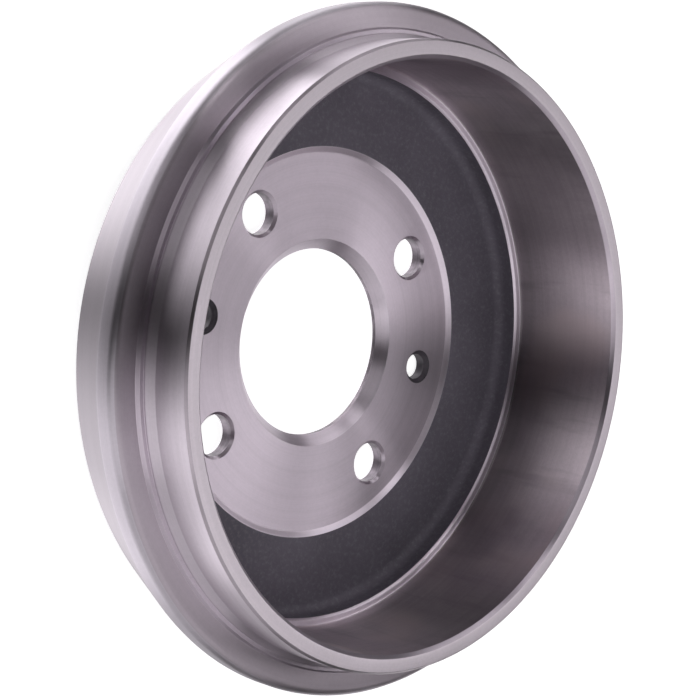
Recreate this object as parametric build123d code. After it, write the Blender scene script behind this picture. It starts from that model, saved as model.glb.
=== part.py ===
from build123d import *
import math
import os

# Brake drum: one grey-iron casting, turned inside and on its open end.
# Millimetres. The drum's axis is Z. Z = 0 is the machined wheel face on the
# closed side and the open end faces +Z. The fixing holes lie on the X axis.

# ---- driving dimensions ------------------------------------------------------
friction_d = 180.0          # bore the shoes rub on
overall_height = 54.5       # wheel face to lip face
lip_wall = 5.8              # thickness of the lip outside the friction bore
flange_face_z = 37.1        # shoulder of the flange, toward the open end
flange_overhang = 8.3       # how far the stiffening flange stands out past the step
flange_cyl_len = 5.6        # plain cylinder on the flange's outside
flange_edge_bevel_r = 1.6   # bevel between that cylinder and the shoulder, radially
flange_edge_bevel_z = 1.5   # and along the axis

# lip that stands from the shoulder and carries the labyrinth with the back plate
lip_edge_chamfer = 0.7      # outer corner of the lip's face
mouth_chamfer = 1.1         # lead-in chamfer at the open end of the friction bore
foot_flare = 1.5            # foot of the lip, wider than the lip by this at the radius
foot_base = 0.7             # height of the foot's plain part above the step
step_ledge = 1.2            # width of the low machined step round the foot
step_height = 1.3
step_bevel = 0.6            # radial run of the step's sloping side
foot_taper_len = 2.6        # axial run of the taper

# body between the flange and the closed side
body_angle = 23.0           # slope of the body's outside from the axis, degrees
body_corner_r = 16.5        # outer corner where the body turns into the web
body_flange_r = 3.0         # blend between the slope and the flange's cylinder

# web and hub pad on the closed side
pad_thickness = 5.1         # machined pad between hub flange and wheel
pad_d = 121.6               # flat of the pad inside the drum
pad_step_height = 1.2       # as-cast web stands proud of the pad
pad_step_run = 1.8          # radial run of the sloping wall around the pad
seat_d = 136.0              # machined wheel face on the outside
seat_relief = 1.0           # as-cast web behind the wheel face
seat_relief_run = 1.2
ledge_width = 2.8           # machined ledge at the inner end of the friction bore
ledge_height = 7.8          # from the web up to that ledge
ledge_chamfer = 0.7
ledge_fillet = 1.3          # tool-nose radius between ledge and friction bore
cavity_r = 6.0              # as-cast fillet between the web and the cavity wall

# hub bore
pilot_d = 60.0
pilot_chamfer = 3.3         # wide lead-in on the hub side
pilot_back_chamfer = 0.4    # wheel side

# holes for the wheel bolts and for the two drum-retaining screws
pitch_d = 98.0
bolt_hole_d = 13.0
bolt_hole_count = 4
bolt_hole_chamfer = 0.9
fixing_hole_d = 8.5
fixing_hole_count = 2
fixing_countersink_d = 11.2
hole_back_chamfer = 0.4     # light edge break on the wheel side

cut_overrun = 2.0           # how far a cutter passes the faces it goes through

# ---- derived sizes -----------------------------------------------------------
friction_r = friction_d / 2
lip_r = friction_r + lip_wall
foot_r = lip_r + foot_flare
step_r = foot_r + step_ledge
flange_r = step_r + flange_overhang
ledge_r = friction_r - ledge_width
pad_r = pad_d / 2
seat_r = seat_d / 2
pilot_r = pilot_d / 2
web_top_z = pad_thickness + pad_step_height
ledge_z = web_top_z + ledge_height
step_top_z = flange_face_z + step_height
foot_top_z = step_top_z + foot_base + foot_taper_len
cyl_top_z = flange_face_z - flange_edge_bevel_z
cyl_bottom_z = cyl_top_z - flange_cyl_len
body_run = (cyl_bottom_z - seat_relief) * math.tan(math.radians(body_angle))
body_back_r = flange_r - body_run


def section():
    """Half section of the turned casting as a closed sketch in the X-Z plane."""
    # corners that are blended afterwards: (radius, z) of the sharp corner
    back_corner = (body_back_r, seat_relief)
    flange_corner = (flange_r, cyl_bottom_z)
    cavity_corner = (ledge_r, web_top_z)
    ledge_corner = (friction_r, ledge_z)

    outside = [
        (pilot_r + pilot_back_chamfer, 0),
        (seat_r, 0),
        (seat_r + seat_relief_run, seat_relief),
        back_corner,
        flange_corner,
        (flange_r, cyl_top_z),
        (flange_r - flange_edge_bevel_r, flange_face_z),
        (step_r + step_bevel, flange_face_z),
        (step_r, step_top_z),
        (foot_r, step_top_z),
        (foot_r, step_top_z + foot_base),
        (lip_r, foot_top_z),
        (lip_r, overall_height - lip_edge_chamfer),
        (lip_r - lip_edge_chamfer, overall_height),
    ]
    inside = [
        (friction_r + mouth_chamfer, overall_height),
        (friction_r, overall_height - mouth_chamfer),
        ledge_corner,
        (ledge_r + ledge_chamfer, ledge_z),
        (ledge_r, ledge_z - ledge_chamfer),
        cavity_corner,
        (pad_r + pad_step_run, web_top_z),
        (pad_r, pad_thickness),
        (pilot_r + pilot_chamfer, pad_thickness),
        (pilot_r, pad_thickness - pilot_chamfer),
        (pilot_r, pilot_back_chamfer),
    ]
    blends = [
        (back_corner, body_corner_r),
        (flange_corner, body_flange_r),
        (cavity_corner, cavity_r),
        (ledge_corner, ledge_fillet),
    ]
    with BuildSketch(Plane.XZ) as sketch:
        with BuildLine():
            Polyline(*(outside + inside), close=True)
        make_face()
        for corner, radius in blends:
            target = Vector(corner[0], 0, corner[1])
            nearest = sorted(sketch.vertices(), key=lambda v: (Plane.XZ.from_local_coords(
                Vector(v.X, v.Y, 0)) - target).length)[0]
            fillet(nearest, radius)
    return sketch.sketch


def through_hole(diameter, front_chamfer, back_chamfer):
    """Cutter for a drilled hole through the pad with both edges broken."""
    r = diameter / 2
    drill = Pos(0, 0, -cut_overrun) * Cylinder(
        r, pad_thickness + 2 * cut_overrun, align=(Align.CENTER, Align.CENTER, Align.MIN))
    front = Pos(0, 0, pad_thickness - front_chamfer) * Cone(
        r, r + front_chamfer + cut_overrun, front_chamfer + cut_overrun,
        align=(Align.CENTER, Align.CENTER, Align.MIN))
    back = Pos(0, 0, back_chamfer) * Rot(180, 0, 0) * Cone(
        r, r + back_chamfer + cut_overrun, back_chamfer + cut_overrun,
        align=(Align.CENTER, Align.CENTER, Align.MIN))
    return drill + front + back


def on_pitch_circle(cutter, count, first_angle):
    """Copies of one cutter spaced evenly on the pitch circle."""
    step = 360.0 / count
    return [Rot(0, 0, first_angle + step * i) * Pos(pitch_d / 2, 0, 0) * cutter
            for i in range(count)]


casting = revolve(section(), axis=Axis.Z, revolution_arc=360)

bolt_cutter = through_hole(bolt_hole_d, bolt_hole_chamfer, hole_back_chamfer)
fixing_depth = (fixing_countersink_d - fixing_hole_d) / 2
fixing_cutter = through_hole(fixing_hole_d, fixing_depth, hole_back_chamfer)
for cutter in on_pitch_circle(bolt_cutter, bolt_hole_count, 180.0 / bolt_hole_count):
    casting = casting - cutter
for cutter in on_pitch_circle(fixing_cutter, fixing_hole_count, 0.0):
    casting = casting - cutter

drum = casting
drum.label = "brake_drum"

os.makedirs("parts", exist_ok=True)
export_step(drum, "parts/brake_drum.step")
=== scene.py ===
import math

import bpy
import numpy as np
from mathutils import Matrix, Vector, noise


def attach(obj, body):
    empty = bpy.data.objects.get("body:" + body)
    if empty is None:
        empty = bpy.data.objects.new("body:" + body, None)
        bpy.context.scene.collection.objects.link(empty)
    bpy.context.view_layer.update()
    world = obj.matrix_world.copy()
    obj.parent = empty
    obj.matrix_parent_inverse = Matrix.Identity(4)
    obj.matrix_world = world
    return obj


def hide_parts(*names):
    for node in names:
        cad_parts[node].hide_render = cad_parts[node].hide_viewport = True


# A cast-iron brake drum, lying on its wheel face with the open end up.
# The script works in the row's frame, in metres. The section's sizes are in
# millimetres, as on a drawing, and MM takes them to metres.

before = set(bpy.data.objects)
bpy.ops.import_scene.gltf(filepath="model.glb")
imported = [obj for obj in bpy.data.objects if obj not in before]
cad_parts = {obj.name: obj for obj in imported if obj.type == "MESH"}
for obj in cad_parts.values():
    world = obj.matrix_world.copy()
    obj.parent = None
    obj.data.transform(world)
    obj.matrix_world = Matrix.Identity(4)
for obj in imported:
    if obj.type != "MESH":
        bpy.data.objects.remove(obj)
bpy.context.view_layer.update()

MM = 0.001
NODE = "brake_drum"

# ---- sizes of the turned section, mm ------------------------------------------
FRICTION_R = 90.0
OVERALL_HEIGHT = 54.5
FLANGE_R = 106.8
SHOULDER_Z = 37.1
FLANGE_BEVEL_Z = 1.5
FLANGE_BAND = 5.6
LIP_R = 95.8
LIP_CHAMFER = 0.7
MOUTH_CHAMFER = 1.1
STEP_R = 98.5
STEP_HEIGHT = 1.3
STEP_BEVEL = 0.6
FOOT_R = 97.3
FOOT_BASE = 0.7
FOOT_TAPER = 2.6
BODY_ANGLE = math.radians(23.0)
BODY_CORNER_R = 16.5
BODY_FLANGE_R = 3.0
PAD_Z = 5.1
PAD_R = 60.8
PAD_STEP_HEIGHT = 1.2
PAD_STEP_RUN = 1.8
SEAT_R = 68.0
SEAT_RELIEF = 1.0
SEAT_RELIEF_RUN = 1.2
LEDGE_R = 87.2
LEDGE_Z = 14.1
LEDGE_CHAMFER = 0.7
LEDGE_FILLET = 1.3
CAVITY_R = 6.0
PILOT_R = 30.0
PILOT_CHAMFER = 3.3
PILOT_BACK_CHAMFER = 0.4
PITCH_R = 49.0
BOLT_R = 6.5
BOLT_COUNT = 4
BOLT_CHAMFER = 0.9
SCREW_R = 4.25
SCREW_COUNT = 2
SCREW_CHAMFER = 1.35
BACK_CHAMFER = 0.4

# ---- rounding of its corners, mm -------------------------------------------------
EDGE_R = 0.22               # broken edge left by the tool on most turned corners
PAD_STEP_ROUND = 1.1        # both corners of the step between the pad and the cast ring
LEDGE_ROUND = 0.5           # both corners of the ledge's chamfer
FLANGE_ROUND = 2.6          # the flange's outer edge, in place of the solid's small bevel
FOOT_ROUND = 0.4            # where the lip meets its tapered foot

# ---- division of the mesh ----------------------------------------------------------
SEGMENTS = 480              # steps round the drum
HOLE_SEGMENTS = 96          # and round each hole
BLEND_TURN = math.radians(20)   # largest turn per step on a small rounding
MIN_BLEND_STEPS = 2
LARGE_BLEND = 1.0           # mm; a larger radius is stepped by length as well
SPAN_SHARE = 0.45           # share of a span that the rounding at one end may take
CAST_STEP = 1.3             # mm between rings on the as-cast skin
LONG_SPAN = 1.5             # in such steps; a longer span is divided
SHARP_ANGLE = math.radians(32)
CAST_LUMP = 0.10            # mm, height of the skin's lumps
CAST_LUMP_SIZE = 4.5        # mm, and their width
FINE_LUMP = 0.5             # height, scale and offset of the finer lumps on them
FINE_LUMP_SCALE = 2.3
FINE_LUMP_OFFSET = (7, 3, 1)
NEAR_SPANS = (-2, -1, 0, 1)     # the two spans that meet at a ring, and one beyond each
CUT_OVERRUN = 1.5           # mm that a hole's cutter stands out of the web
CUTTER_AXIS_R = 0.0001      # mm, in place of 0 on the cutter's axis

# zones of the surface, one for each entry of the list of materials below
(TURNED, FRICTION, CAST, BODY, DRILLED, FACE, SHOULDER,
 LIP, BAND, FOOT, PILOT, SCREW, RING) = range(13)

# ---- geometry ------------------------------------------------------------------


def section():
    """Corners of the half section as (r, z, rounding, zone of the span that follows), in mm."""
    web_top = PAD_Z + PAD_STEP_HEIGHT
    step_top = SHOULDER_Z + STEP_HEIGHT
    foot_top = step_top + FOOT_BASE + FOOT_TAPER
    band_top = SHOULDER_Z - FLANGE_BEVEL_Z
    band_bottom = band_top - FLANGE_BAND
    back_r = FLANGE_R - (band_bottom - SEAT_RELIEF) * math.tan(BODY_ANGLE)
    e = EDGE_R
    return [
        (PILOT_R + PILOT_BACK_CHAMFER, 0, e, TURNED),
        (SEAT_R, 0, e, TURNED),
        (SEAT_R + SEAT_RELIEF_RUN, SEAT_RELIEF, e, CAST),
        (back_r, SEAT_RELIEF, BODY_CORNER_R, BODY),
        (FLANGE_R, band_bottom, BODY_FLANGE_R, BAND),
        (FLANGE_R, SHOULDER_Z, FLANGE_ROUND, SHOULDER),
        (STEP_R + STEP_BEVEL, SHOULDER_Z, e, TURNED),
        (STEP_R, step_top, e, TURNED),
        (FOOT_R, step_top, e, TURNED),
        (FOOT_R, step_top + FOOT_BASE, e, FOOT),
        (LIP_R, foot_top, FOOT_ROUND, LIP),
        (LIP_R, OVERALL_HEIGHT - LIP_CHAMFER, e, SHOULDER),
        (LIP_R - LIP_CHAMFER, OVERALL_HEIGHT, e, FACE),
        (FRICTION_R + MOUTH_CHAMFER, OVERALL_HEIGHT, e, TURNED),
        (FRICTION_R, OVERALL_HEIGHT - MOUTH_CHAMFER, e, FRICTION),
        (FRICTION_R, LEDGE_Z, LEDGE_FILLET, RING),
        (LEDGE_R + LEDGE_CHAMFER, LEDGE_Z, LEDGE_ROUND, RING),
        (LEDGE_R, LEDGE_Z - LEDGE_CHAMFER, LEDGE_ROUND, CAST),
        (LEDGE_R, web_top, CAVITY_R, CAST),
        (PAD_R + PAD_STEP_RUN, web_top, PAD_STEP_ROUND, RING),
        (PAD_R, PAD_Z, PAD_STEP_ROUND, TURNED),
        (PILOT_R + PILOT_CHAMFER, PAD_Z, e, PILOT),
        (PILOT_R, PAD_Z - PILOT_CHAMFER, e, DRILLED),
        (PILOT_R, PILOT_BACK_CHAMFER, e, TURNED),
    ]


def blended(corners):
    """Closed profile with each corner rounded: list of (r, z, zone of the span that follows)."""
    points = []
    n = len(corners)
    for i, (r, z, radius, zone) in enumerate(corners):
        here = Vector((r, z))
        before = Vector(corners[i - 1][:2])
        after = Vector(corners[(i + 1) % n][:2])
        zone_before = corners[i - 1][3]
        a = (before - here).normalized()
        b = (after - here).normalized()
        turn = math.pi - math.acos(max(-1.0, min(1.0, a.dot(b))))
        back = radius * math.tan(turn / 2)
        shorter = min((before - here).length, (after - here).length)
        back = min(back, SPAN_SHARE * shorter)
        fitted = back / math.tan(turn / 2)
        centre = here + (a + b).normalized() * (fitted / math.cos(turn / 2))
        start = here + a * back
        steps = max(MIN_BLEND_STEPS, math.ceil(turn / BLEND_TURN))
        if radius > LARGE_BLEND:
            steps = max(steps, math.ceil(turn * radius / CAST_STEP))
        arm = start - centre
        side = 1 if a.x * b.y - a.y * b.x < 0 else -1
        for k in range(steps + 1):
            angle = side * turn * k / steps
            p = centre + Matrix.Rotation(angle, 2) @ arm
            on_blend = zone_before if k < steps / 2 else zone
            points.append((p.x, p.y, zone if k == steps else on_blend))
    return points


def divided(points):
    """The same profile with long spans on the cast skin and the body cut into short ones."""
    out = []
    n = len(points)
    for i, (r, z, zone) in enumerate(points):
        r2, z2, _ = points[(i + 1) % n]
        out.append((r, z, zone))
        length = math.hypot(r2 - r, z2 - z)
        if zone in (CAST, BODY) and length > LONG_SPAN * CAST_STEP:
            cuts = round(length / CAST_STEP)
            for k in range(1, cuts):
                t = k / cuts
                out.append((r + (r2 - r) * t, z + (z2 - z) * t, zone))
    return out


def revolved(name, profile, segments, zones):
    """Mesh of a closed profile turned round Z, each span of it in its zone's material."""
    rings = len(profile)
    rz = np.array([(p[0], p[1]) for p in profile]) * MM
    angle = np.arange(segments) * (2 * math.pi / segments)
    co = np.empty((rings, segments, 3))
    co[:, :, 0] = rz[:, None, 0] * np.cos(angle)
    co[:, :, 1] = rz[:, None, 0] * np.sin(angle)
    co[:, :, 2] = rz[:, None, 1]
    ring = np.arange(rings)
    seg = np.arange(segments)
    a = ring[:, None] * segments + seg
    b = ((ring + 1) % rings)[:, None] * segments + seg
    c = ((ring + 1) % rings)[:, None] * segments + (seg + 1) % segments
    d = ring[:, None] * segments + (seg + 1) % segments
    faces = np.stack([a, d, c, b], axis=-1).reshape(-1, 4)
    mesh = bpy.data.meshes.new(name)
    mesh.from_pydata(co.reshape(-1, 3).tolist(), [], faces.tolist())
    mesh.polygons.foreach_set("material_index", np.repeat(zones, segments).astype(np.int32))
    mesh.update()
    return mesh


def roughen(mesh, profile):
    """Raises the lumps of the sand-cast skin on rings that have only cast spans beside them."""
    n = len(profile)
    co = np.empty(len(mesh.vertices) * 3)
    mesh.vertices.foreach_get("co", co)
    co = co.reshape(n, SEGMENTS, 3)
    normals = np.empty(len(mesh.vertices) * 3)
    mesh.vertex_normals.foreach_get("vector", normals)
    normals = normals.reshape(n, SEGMENTS, 3)
    for i in range(n):
        if any(profile[(i + k) % n][2] != CAST for k in NEAR_SPANS):
            continue
        for j in range(SEGMENTS):
            p = Vector(co[i, j]) / (CAST_LUMP_SIZE * MM)
            fine = noise.noise(p * FINE_LUMP_SCALE + Vector(FINE_LUMP_OFFSET))
            height = noise.noise(p) + FINE_LUMP * fine
            co[i, j] += normals[i, j] * height * CAST_LUMP * MM
    mesh.vertices.foreach_set("co", co.reshape(-1))
    mesh.update()


def hole_cutter(name, radius, front_chamfer, wall, edge):
    """Closed cutter for one drilled hole, both of its edges broken."""
    top = front_chamfer + CUT_OVERRUN
    bottom = BACK_CHAMFER + CUT_OVERRUN
    profile = [
        (CUTTER_AXIS_R, -CUT_OVERRUN),
        (radius + bottom, -CUT_OVERRUN),
        (radius, BACK_CHAMFER),
        (radius, PAD_Z - front_chamfer),
        (radius + top, PAD_Z + CUT_OVERRUN),
        (CUTTER_AXIS_R, PAD_Z + CUT_OVERRUN),
    ]
    zones = np.array([wall, edge, wall, edge, wall, wall])
    return revolved(name, profile, HOLE_SEGMENTS, zones)


def joined_cutters():
    """All the holes' cutters as one mesh."""
    parts = []
    for count, first, radius, chamfer, wall, edge in (
            (BOLT_COUNT, math.pi / BOLT_COUNT, BOLT_R, BOLT_CHAMFER, DRILLED, TURNED),
            (SCREW_COUNT, 0.0, SCREW_R, SCREW_CHAMFER, SCREW, SCREW)):
        for i in range(count):
            angle = first + 2 * math.pi * i / count
            cutter = hole_cutter("cutter", radius, chamfer, wall, edge)
            out_to_circle = Matrix.Translation((PITCH_R * MM, 0, 0))
            cutter.transform(Matrix.Rotation(angle, 4, "Z") @ out_to_circle)
            parts.append(cutter)
    verts = []
    faces = []
    zones = []
    for part in parts:
        base = len(verts)
        verts += [v.co.copy() for v in part.vertices]
        faces += [[base + k for k in p.vertices] for p in part.polygons]
        zones += [p.material_index for p in part.polygons]
        bpy.data.meshes.remove(part)
    mesh = bpy.data.meshes.new("cutters")
    mesh.from_pydata(verts, [], faces)
    mesh.polygons.foreach_set("material_index", zones)
    mesh.update()
    return mesh


def build_drum(materials):
    """The casting with its holes cut, as one object with every material in its slots."""
    profile = divided(blended(section()))
    zones = np.array([p[2] for p in profile])
    mesh = revolved("brake_drum_casting", profile, SEGMENTS, zones)
    roughen(mesh, profile)
    drum = bpy.data.objects.new("brake_drum_casting", mesh)
    cutters = bpy.data.objects.new("hole_cutters", joined_cutters())
    for obj in (drum, cutters):
        bpy.context.scene.collection.objects.link(obj)
        for material in materials:
            obj.data.materials.append(material)
    cut = drum.modifiers.new("holes", "BOOLEAN")
    cut.operation = "DIFFERENCE"
    cut.solver = "EXACT"
    cut.object = cutters
    bpy.context.view_layer.update()
    graph = bpy.context.evaluated_depsgraph_get()
    finished = bpy.data.meshes.new_from_object(drum.evaluated_get(graph))
    drum.modifiers.clear()
    drum.data = finished
    finished.name = "brake_drum_casting"
    bpy.data.objects.remove(cutters)
    finished.shade_smooth()
    finished.set_sharp_from_angle(angle=SHARP_ANGLE)
    return drum


# ---- materials -----------------------------------------------------------------


class Nodes:
    """Small helper that adds and links shader nodes."""

    def __init__(self, tree):
        self.tree = tree

    def add(self, kind, **settings):
        node = self.tree.nodes.new(kind)
        for key, value in settings.items():
            setattr(node, key, value)
        return node

    def feed(self, socket, value):
        if hasattr(value, "is_output"):
            self.tree.links.new(value, socket)
        else:
            socket.default_value = value

    def math(self, operation, a, b=0.0):
        node = self.add("ShaderNodeMath", operation=operation)
        for socket, value in zip(node.inputs, (a, b)):
            self.feed(socket, value)
        return node.outputs[0]

    def span(self, value, low, high, to_low=0.0, to_high=1.0, smooth=False):
        """Takes low..high to to_low..to_high, and holds the ends outside it."""
        node = self.add("ShaderNodeMapRange", clamp=True)
        node.interpolation_type = "SMOOTHSTEP" if smooth else "LINEAR"
        for socket, v in zip(node.inputs, (value, low, high, to_low, to_high)):
            self.feed(socket, v)
        return node.outputs[0]

    def mix(self, factor, a, b, blend="MIX"):
        node = self.add("ShaderNodeMix", data_type="RGBA", blend_type=blend)
        self.feed(node.inputs[0], factor)
        self.feed(node.inputs[6], a)
        self.feed(node.inputs[7], b)
        return node.outputs[2]

    def noise(self, vector, scale, detail=2.0, rough=0.5):
        node = self.add("ShaderNodeTexNoise")
        self.feed(node.inputs["Vector"], vector)
        node.inputs["Scale"].default_value = scale
        node.inputs["Detail"].default_value = detail
        node.inputs["Roughness"].default_value = rough
        return node.outputs["Fac"]

    def noise_span(self, noise_value, to_low=0.0, to_high=1.0):
        """Spreads the middle of a noise, where most of its values lie, over the given range."""
        return self.span(noise_value, NOISE_LOW, NOISE_HIGH, to_low, to_high)

    def combine(self, x, y, z):
        node = self.add("ShaderNodeCombineXYZ")
        for socket, value in zip(node.inputs, (x, y, z)):
            self.feed(socket, value)
        return node.outputs[0]

    def shade(self, surface, level):
        """The colour times a plain level."""
        return self.mix(1.0, surface, self.combine(level, level, level), blend="MULTIPLY")

    def position(self):
        """The shaded point in the drum's own coordinates, and its x, y and z."""
        point = self.add("ShaderNodeTexCoord").outputs["Object"]
        xyz = self.add("ShaderNodeSeparateXYZ")
        self.feed(xyz.inputs[0], point)
        return point, *xyz.outputs

    def bump(self, shader, height, strength, distance):
        """Bump of the given distance in mm on the shader's normal."""
        node = self.add("ShaderNodeBump")
        node.inputs["Strength"].default_value = strength
        node.inputs["Distance"].default_value = distance * MM
        self.feed(node.inputs["Height"], height)
        self.feed(shader.inputs["Normal"], node.outputs[0])


def new_material(name):
    """An empty material with its node helper and its Principled shader."""
    material = bpy.data.materials.new(name)
    material.use_nodes = True
    tree = material.node_tree
    tree.nodes.clear()
    n = Nodes(tree)
    out = n.add("ShaderNodeOutputMaterial")
    shader = n.add("ShaderNodeBsdfPrincipled")
    tree.links.new(shader.outputs[0], out.inputs[0])
    return material, n, shader


def rgb(color, level=1.0):
    """A colour times a level, as a socket takes it."""
    return (color[0] * level, color[1] * level, color[2] * level, 1.0)


# scales of noise are per metre, unless the vector fed to it is already in steps
NOISE_LOW = 0.3
NOISE_HIGH = 0.7

# friction bore
WEAR_STREAK = 7.0           # mm, width of the shoes' marks
WEAR_STREAK_LENGTH = 60.0   # mm, and their length along the axis
WEAR_PATCH_SCALE = 17.0
WEAR_WARMTH_SCALE = 24.0
WEAR_STREAK_FADE = (0.50, 0.72)     # noise levels between which a mark fades in
WEAR_PATCH_FADE = (0.52, 0.70)
WEAR_DARK_SHARE = 0.45      # how much of the dark colour a streak or a patch takes
WEAR_WARM_SHARE = 0.6
BORE_PAINTED_SHADE_TO_LIGHT = (0.50, 1.75)  # painted shade at the bore's inner end, painted light at its mouth: the tone at each
# painted light and shade round the bore: its tone away from azimuths 0 and 180 degrees, and the
# sines of the angle where it starts and is full
BORE_PAINTED_SIDE_LIGHT = ((0.82, 0.35, 0.80), (1.75, 0.87, 1.0))


def wear_and_painted_light(n, surface, angle, z, point, dark, warm):
    """Friction bore: painted shade deep inside and painted light toward the mouth and round its
    sides, with axial streaks and warm and dark patches.
    """
    ring = n.combine(n.math("MULTIPLY", n.math("COSINE", angle), FRICTION_R / WEAR_STREAK),
                     n.math("MULTIPLY", n.math("SINE", angle), FRICTION_R / WEAR_STREAK),
                     n.math("MULTIPLY", z, 1.0 / (WEAR_STREAK_LENGTH * MM)))
    streaks = n.noise(ring, 1.0, detail=3.0, rough=0.65)
    patches = n.noise(point, WEAR_PATCH_SCALE, detail=4.0, rough=0.6)
    warmth = n.noise(point, WEAR_WARMTH_SCALE, detail=2.0, rough=0.5)
    for mask, fade, share, color in (
            (streaks, WEAR_STREAK_FADE, WEAR_DARK_SHARE, dark),
            (patches, WEAR_PATCH_FADE, WEAR_DARK_SHARE, dark),
            (warmth, WEAR_PATCH_FADE, WEAR_WARM_SHARE, warm)):
        cover = n.span(mask, *fade, 0.0, share, smooth=True)
        surface = n.mix(cover, surface, rgb(color))
    # painted shade deep in the bore and painted light toward its mouth, then painted light and
    # shade by azimuth
    painted_light_and_shade = n.span(z, LEDGE_Z * MM, OVERALL_HEIGHT * MM, *BORE_PAINTED_SHADE_TO_LIGHT)
    aside = n.math("ABSOLUTE", n.math("SINE", angle))
    for level, start, end in BORE_PAINTED_SIDE_LIGHT:
        share = n.span(aside, start, end, 0.0, 1.0)
        change = n.math("MULTIPLY", share, n.math("SUBTRACT", level, painted_light_and_shade))
        painted_light_and_shade = n.math("ADD", painted_light_and_shade, change)
    return n.shade(surface, painted_light_and_shade)


# turned faces
GROOVE_DRIFT = 0.35         # groove steps that the pattern moves on per radian round the drum
BAND_SCALE = 0.13           # wide rings, per groove step
CLOUD_SCALE = 38.0
GRAIN_SCALE = 900.0
GROOVE_LOW = 0.25
GROOVE_HIGH = 0.75
GROOVE_TONE = 0.5           # how far each of the four moves the tone
BAND_TONE = 0.5
CLOUD_TONE = 0.7
GRAIN_TONE = 0.4
TONE_REACH = 1.6            # sum of the four at which the colour is darkest or lightest
MOTTLE_GAIN = 1.8
GROOVE_ROUGH = 0.012        # how far grooves and clouds move the roughness
CLOUD_ROUGH = 0.015
GRAIN_HEIGHT = 0.4          # height of the grain, as a share of the grooves'
TANGENT_TURN = 0.25         # quarter turn, so that highlights stretch across the grooves


def turned_metal(name, color, roughness, anisotropy, groove, pitch, mottle=0.06, wear=None,
                 side=None):
    """Iron cut on a lathe: fine grooves round the axis, which stretch the highlights across them.

    groove and pitch are the grooves' depth and spacing in mm, wear is the two colours of the
    bore's marks, which also bring the bore's painted light and shade, and side is the azimuth in
    degrees of painted light, lighter there and darker opposite, and by what share.
    """
    material, n, shader = new_material(name)
    point, x, y, z = n.position()
    radius = n.math("SQRT", n.math("ADD", n.math("MULTIPLY", x, x), n.math("MULTIPLY", y, y)))
    angle = n.math("ARCTAN2", y, x)
    per_pitch = 1.0 / (pitch * MM)
    ring = n.combine(n.math("MULTIPLY", radius, per_pitch), n.math("MULTIPLY", z, per_pitch),
                     n.math("MULTIPLY", angle, GROOVE_DRIFT))
    grooves = n.noise(ring, 1.0, detail=1.0, rough=0.6)
    bands = n.noise(ring, BAND_SCALE, detail=2.0, rough=0.6)
    cloud = n.noise(point, CLOUD_SCALE, detail=3.0, rough=0.55)
    grain = n.noise(point, GRAIN_SCALE, detail=2.0, rough=0.7)
    tone = n.span(grooves, GROOVE_LOW, GROOVE_HIGH, -GROOVE_TONE, GROOVE_TONE)
    for part, reach in ((bands, BAND_TONE), (cloud, CLOUD_TONE), (grain, GRAIN_TONE)):
        tone = n.math("ADD", tone, n.noise_span(part, -reach, reach))
    factor = n.span(tone, -TONE_REACH, TONE_REACH)
    surface = n.mix(factor, rgb(color, 1 - MOTTLE_GAIN * mottle),
                    rgb(color, 1 + MOTTLE_GAIN * mottle))
    # the bore's wear marks, and its painted light and shade
    if wear:
        surface = wear_and_painted_light(n, surface, angle, z, point, *wear)
    # painted light: the colour lighter toward one azimuth and darker opposite it
    if side:
        azimuth, painted_light_amount = side
        painted_light_swing = n.math("COSINE", n.math("SUBTRACT", angle, math.radians(azimuth)))
        surface = n.shade(surface, n.math("ADD", 1.0, n.math("MULTIPLY", painted_light_swing, painted_light_amount)))
    n.feed(shader.inputs["Base Color"], surface)
    shader.inputs["Metallic"].default_value = 1.0
    rough = n.math("ADD", n.span(grooves, GROOVE_LOW, GROOVE_HIGH, -GROOVE_ROUGH, GROOVE_ROUGH),
                   n.noise_span(cloud, -CLOUD_ROUGH, CLOUD_ROUGH))
    n.feed(shader.inputs["Roughness"], n.math("ADD", rough, roughness))
    shader.inputs["Anisotropic"].default_value = anisotropy
    shader.inputs["Anisotropic Rotation"].default_value = TANGENT_TURN
    tangent = n.add("ShaderNodeTangent", direction_type="RADIAL", axis="Z")
    n.feed(shader.inputs["Tangent"], tangent.outputs[0])
    height = n.math("ADD", grooves, n.math("MULTIPLY", grain, GRAIN_HEIGHT))
    n.bump(shader, height, strength=1.0, distance=groove)
    return material


# cast skin
SKIN_CLOUD_SCALE = 30.0
SKIN_GRAIN_SCALE = 650.0
SKIN_PIT_SCALE = 1500.0
SKIN_CLOUD_TONE = 0.15
PIT_LIFT = 0.5              # added to the pits before they thin the grain into flecks
FLECK_FADE = (0.5, 0.78)
FLECK_SHARE = 0.35          # how much of the pale colour a fleck takes
PAINTED_SHADE_START = 0.3          # mm above the web where painted shade starts to darken the skin, and the tone of that painted shade where the skin rises to the ledge
PAINTED_SHADE_TONE = 0.8           # and its tone where it rises to the ledge
SKIN_METALLIC = 0.15
SKIN_ROUGH = 0.08           # how far the grain moves the roughness
PIT_HEIGHT = 0.4            # height of the pits, as a share of the grain's
SKIN_BUMP = 0.25            # mm
SKIN_BUMP_STRENGTH = 0.6


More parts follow.
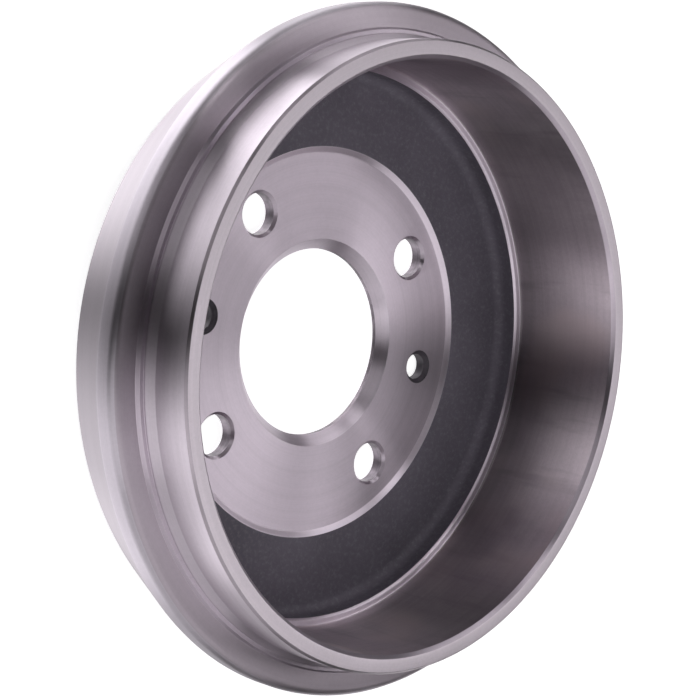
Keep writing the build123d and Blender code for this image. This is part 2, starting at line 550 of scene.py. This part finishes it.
def cast_skin(name, color, fleck, roughness):
    """Sand-cast iron with its grey oxide skin: grainy, dull, with paler flecks, and painted shade
    that darkens it where it rises toward the ledge.
    """
    material, n, shader = new_material(name)
    point, _, _, z = n.position()
    cloud = n.noise(point, SKIN_CLOUD_SCALE, detail=3.0, rough=0.6)
    grain = n.noise(point, SKIN_GRAIN_SCALE, detail=3.0, rough=0.65)
    pits = n.noise(point, SKIN_PIT_SCALE, detail=2.0, rough=0.6)
    base = n.mix(n.noise_span(cloud), rgb(color, 1 - SKIN_CLOUD_TONE),
                 rgb(color, 1 + SKIN_CLOUD_TONE))
    flecks = n.math("MULTIPLY", grain, n.math("ADD", pits, PIT_LIFT))
    skin = n.mix(n.span(flecks, *FLECK_FADE, 0.0, FLECK_SHARE), base, rgb(fleck))
    # painted shade: the skin darkens up the cavity's rounded corner toward the ledge
    web_top = PAD_Z + PAD_STEP_HEIGHT
    depth = n.span(z, (web_top + PAINTED_SHADE_START) * MM, (web_top + CAVITY_R) * MM, 1.0, PAINTED_SHADE_TONE)
    n.feed(shader.inputs["Base Color"], n.shade(skin, depth))
    shader.inputs["Metallic"].default_value = SKIN_METALLIC
    n.feed(shader.inputs["Roughness"],
           n.noise_span(grain, roughness + SKIN_ROUGH, roughness - SKIN_ROUGH))
    height = n.math("ADD", grain, n.math("MULTIPLY", pits, PIT_HEIGHT))
    n.bump(shader, height, SKIN_BUMP_STRENGTH, SKIN_BUMP)
    return material


# drilled walls
CHATTER_PER_M = 2500.0      # marks of the drill's feed along the wall
CHATTER_DRIFT = 60.0        # and how they wander round it, per metre
WALL_PATCH_SCALE = 260.0
WALL_PATCH_TONE = 0.7
WALL_CHATTER_TONE = 0.3
WALL_ROUGH = 0.06           # how far the patches move the roughness
WALL_BUMP = 0.03            # mm
WALL_BUMP_STRENGTH = 0.5


def drilled_wall(name, dark, light, roughness, metallic):
    """Wall of a drilled hole: duller than the turned faces and darker with painted shade, with
    chatter round it.
    """
    material, n, shader = new_material(name)
    point, x, y, z = n.position()
    patches = n.noise(point, WALL_PATCH_SCALE, detail=3.0, rough=0.6)
    spiral = n.combine(n.math("MULTIPLY", z, CHATTER_PER_M), n.math("MULTIPLY", x, CHATTER_DRIFT),
                       n.math("MULTIPLY", y, CHATTER_DRIFT))
    chatter = n.noise(spiral, 1.0, detail=2.0, rough=0.5)
    tone = n.math("ADD", n.noise_span(patches, 0.0, WALL_PATCH_TONE),
                  n.noise_span(chatter, 0.0, WALL_CHATTER_TONE))
    n.feed(shader.inputs["Base Color"], n.mix(tone, rgb(dark), rgb(light)))
    shader.inputs["Metallic"].default_value = metallic
    n.feed(shader.inputs["Roughness"],
           n.noise_span(patches, roughness + WALL_ROUGH, roughness - WALL_ROUGH))
    n.bump(shader, chatter, WALL_BUMP_STRENGTH, WALL_BUMP)
    return material


IRON = (0.56, 0.49, 0.56)
FRICTION_IRON = (0.41, 0.358, 0.393)
WEAR_DARK = (0.24, 0.21, 0.235)
WEAR_WARM = (0.50, 0.415, 0.43)
SKIN_GREY = (0.142, 0.127, 0.160)
SKIN_FLECK = (0.27, 0.25, 0.29)
BODY_IRON = (0.425, 0.385, 0.425)
# painted shade: the drilled walls' colours, darker than the turned faces, and the screw holes'
# darker still
WALL_PAINTED_SHADE_DARK = (0.105, 0.088, 0.105)
WALL_PAINTED_SHADE_PALE = (0.31, 0.265, 0.31)
# painted light and shade: the face, lip, band, pilot and ring colours are lighter copies of the
# iron, the band's of the body iron, and the shoulder's a darker copy
FACE_PAINTED_LIGHT_IRON = (0.735, 0.66, 0.725)
SHOULDER_PAINTED_SHADE_IRON = (0.44, 0.385, 0.435)
LIP_PAINTED_LIGHT_IRON = (0.62, 0.555, 0.62)
BAND_PAINTED_LIGHT_IRON = (0.51, 0.465, 0.52)
PILOT_PAINTED_LIGHT_IRON = (0.66, 0.585, 0.66)
SCREW_PAINTED_SHADE_DARK = (0.045, 0.038, 0.050)
SCREW_PAINTED_SHADE_PALE = (0.105, 0.090, 0.110)
RING_PAINTED_LIGHT_IRON = (0.78, 0.69, 0.78)

# one for each zone, in the zones' order
materials = [
    turned_metal("turned_iron", IRON, roughness=0.33, anisotropy=1.0, groove=0.016, pitch=0.35),
    turned_metal("friction_iron", FRICTION_IRON, roughness=0.34, anisotropy=1.0, groove=0.006,
                 pitch=0.30, mottle=0.10, wear=(WEAR_DARK, WEAR_WARM)),
    cast_skin("cast_iron_skin", SKIN_GREY, SKIN_FLECK, roughness=0.72),
    turned_metal("body_iron", BODY_IRON, roughness=0.38, anisotropy=0.95, groove=0.010,
                 pitch=0.45, mottle=0.05),
    # painted shade: the bolt holes' walls darkened
    drilled_wall("drilled_iron_painted_shade", WALL_PAINTED_SHADE_DARK, WALL_PAINTED_SHADE_PALE, roughness=0.42, metallic=0.6),
    # painted light: the mouth face lighter toward azimuth -100 degrees and darker opposite
    turned_metal("face_iron_painted_light", FACE_PAINTED_LIGHT_IRON, roughness=0.46, anisotropy=0.40, groove=0.010,
                 pitch=0.40, side=(-100.0, 0.15)),
    # painted light and shade: the shoulder in a darker copy of the turned iron; lip, band, foot,
    # pilot and ring in lighter copies
    turned_metal("shoulder_iron_painted_shade", SHOULDER_PAINTED_SHADE_IRON, roughness=0.33, anisotropy=1.0, groove=0.016,
                 pitch=0.35),
    turned_metal("lip_iron_painted_light", LIP_PAINTED_LIGHT_IRON, roughness=0.33, anisotropy=1.0, groove=0.012, pitch=0.35),
    turned_metal("band_iron_painted_light", BAND_PAINTED_LIGHT_IRON, roughness=0.38, anisotropy=0.95, groove=0.010,
                 pitch=0.45),
    turned_metal("foot_iron_painted_light", LIP_PAINTED_LIGHT_IRON, roughness=0.36, anisotropy=0.95, groove=0.010,
                 pitch=0.40),
    turned_metal("pilot_iron_painted_light", PILOT_PAINTED_LIGHT_IRON, roughness=0.36, anisotropy=0.97, groove=0.012,
                 pitch=0.35),
    # painted shade: the screw holes' walls darkened further
    drilled_wall("screw_hole_iron_painted_shade", SCREW_PAINTED_SHADE_DARK, SCREW_PAINTED_SHADE_PALE, roughness=0.60, metallic=0.3),
    turned_metal("ring_iron_painted_light", RING_PAINTED_LIGHT_IRON, roughness=0.36, anisotropy=0.97, groove=0.010,
                 pitch=0.35),
]

drum = build_drum(materials)
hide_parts(NODE)
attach(drum, "root")

# ---- floor, light and camera -----------------------------------------------------

FLOOR_SIZE = 6.0            # metres
FLOOR_GLOW = 0.80           # how bright the floor looks to the camera in full shadow
FLOOR_COLOR = (0.82, 0.82, 0.82)


def add_floor():
    """White paper that keeps the drum's shadow and looks near white to the camera."""
    half = FLOOR_SIZE / 2
    mesh = bpy.data.meshes.new("floor")
    corners = [(-half, -half, 0), (half, -half, 0), (half, half, 0), (-half, half, 0)]
    mesh.from_pydata(corners, [], [(0, 1, 2, 3)])
    floor = bpy.data.objects.new("floor", mesh)
    bpy.context.scene.collection.objects.link(floor)
    material = bpy.data.materials.new("floor_paper")
    material.use_nodes = True
    material.node_tree.nodes.clear()
    n = Nodes(material.node_tree)
    out = n.add("ShaderNodeOutputMaterial")
    paper = n.add("ShaderNodeBsdfDiffuse")
    paper.inputs["Color"].default_value = rgb(FLOOR_COLOR)
    glow = n.add("ShaderNodeEmission")
    glow.inputs["Color"].default_value = (1, 1, 1, 1)
    path = n.add("ShaderNodeLightPath")
    n.feed(glow.inputs["Strength"], n.math("MULTIPLY", path.outputs["Is Camera Ray"], FLOOR_GLOW))
    both = n.add("ShaderNodeAddShader")
    material.node_tree.links.new(paper.outputs[0], both.inputs[0])
    material.node_tree.links.new(glow.outputs[0], both.inputs[1])
    material.node_tree.links.new(both.outputs[0], out.inputs[0])
    mesh.materials.append(material)
    floor.visible_glossy = False


# soft boxes of the studio as seen from the drum: azimuth, elevation, half width,
# half height and softness of the edge in degrees, and strength
SOFT_BOXES = {
    "low_left": (108.0, -50.0, 17.0, 33.0, 8.0, 4.1),
    "low_right": (-120.0, -53.0, 26.0, 31.0, 20.0, 2.1),
    "low_front": (147.5, -38.0, 16.0, 7.0, 40.0, 6.0),
    "low_back_left": (56.0, -40.0, 28.0, 19.0, 10.0, 2.25),
    "low_back_right": (-66.0, -46.0, 26.0, 20.0, 12.0, 1.25),
    "low_back": (-6.0, -20.0, 36.0, 14.0, 14.0, 2.1),
    "left_middle": (71.0, -10.0, 16.0, 6.0, 6.0, 2.0),
    "right_middle": (-115.0, 2.0, 38.0, 12.0, 14.0, 1.15),
    "top_right": (-84.0, 49.5, 32.0, 28.0, 8.0, 1.0),
    "top": (-12.0, 65.0, 22.0, 17.0, 8.0, 0.62),
    "back": (9.0, 41.0, 7.0, 7.0, 8.0, 3.7),
    "back_left": (67.0, 34.0, 18.0, 7.0, 8.0, 3.0),
    "high_left": (92.0, 51.0, 7.0, 7.0, 8.0, 5.0),
    "high_back_left": (32.0, 52.0, 9.0, 7.0, 8.0, 0.4),
    "front_left": (148.0, 30.0, 17.0, 20.0, 12.0, 1.0),
    "front_right": (-145.0, 30.0, 16.0, 22.0, 12.0, 1.35),
}
AMBIENT = 0.03              # light from everywhere else


def box_cover(n, direction, azimuth, elevation, half_width, half_height, soft):
    """1 where a direction meets the soft box, 0 outside it, with a soft edge between."""
    turn = math.radians(azimuth)
    rise = math.radians(elevation)
    level = math.cos(rise)
    facing = Vector((level * math.cos(turn), level * math.sin(turn), math.sin(rise)))
    right = Vector((-math.sin(turn), math.cos(turn), 0.0))
    up = facing.cross(right)

    def along(axis):
        node = n.add("ShaderNodeVectorMath", operation="DOT_PRODUCT")
        n.feed(node.inputs[0], direction)
        node.inputs[1].default_value = axis
        return node.outputs["Value"]

    across = n.math("ARCTAN2", n.math("ABSOLUTE", along(right)), along(facing))
    above = n.math("ARCSINE", n.math("MINIMUM", n.math("ABSOLUTE", along(up)), 1.0))
    cover = 1.0
    for angle, half in ((across, half_width), (above, half_height)):
        outer = math.radians(half + soft / 2)
        inner = math.radians(half - soft / 2)
        edge = n.span(angle, outer, inner, smooth=True)
        cover = n.math("MULTIPLY", cover, edge)
    return cover


def add_world():
    """White to the camera, and the soft boxes to all other rays."""
    world = bpy.data.worlds.new("studio")
    bpy.context.scene.world = world
    world.use_nodes = True
    world.node_tree.nodes.clear()
    n = Nodes(world.node_tree)
    out = n.add("ShaderNodeOutputWorld")
    direction = n.add("ShaderNodeTexCoord").outputs["Generated"]
    level = AMBIENT
    for azimuth, elevation, half_width, half_height, soft, strength in SOFT_BOXES.values():
        cover = box_cover(n, direction, azimuth, elevation, half_width, half_height, soft)
        level = n.math("ADD", level, n.math("MULTIPLY", cover, strength))
    path = n.add("ShaderNodeLightPath")
    camera = path.outputs["Is Camera Ray"]
    lit = n.math("ADD", n.math("MULTIPLY", level, n.math("SUBTRACT", 1.0, camera)), camera)
    background = n.add("ShaderNodeBackground")
    n.feed(background.inputs["Strength"], lit)
    world.node_tree.links.new(background.outputs[0], out.inputs[0])


# fitted to the circles that the photograph shows: place in metres, and the image's axes
CAMERA_PLACE = (-0.4213, -0.0234, 0.4345)
CAMERA_RIGHT = (0.6831, 0.1904, 0.7051)
CAMERA_UP = (-0.1606, 0.9810, -0.1093)
FOCAL_PIXELS = 1884.5       # focal length in the photograph's pixels
IMAGE_PIXELS = 700
SENSOR = 36.0               # mm
CLIP_NEAR = 0.01            # metres


def add_camera():
    """The camera at the photograph's viewing angle."""
    data = bpy.data.cameras.new("camera")
    data.sensor_fit = "HORIZONTAL"
    data.sensor_width = SENSOR
    data.lens = FOCAL_PIXELS * SENSOR / IMAGE_PIXELS
    data.clip_start = CLIP_NEAR
    camera = bpy.data.objects.new("camera", data)
    right = Vector(CAMERA_RIGHT).normalized()
    back = right.cross(Vector(CAMERA_UP)).normalized()
    up = back.cross(right)
    turn = Matrix((right, up, back)).transposed().to_4x4()
    camera.matrix_world = Matrix.Translation(CAMERA_PLACE) @ turn
    bpy.context.scene.collection.objects.link(camera)
    bpy.context.scene.camera = camera


add_floor()
add_world()
add_camera()
bpy.context.scene.view_settings.view_transform = "Standard"
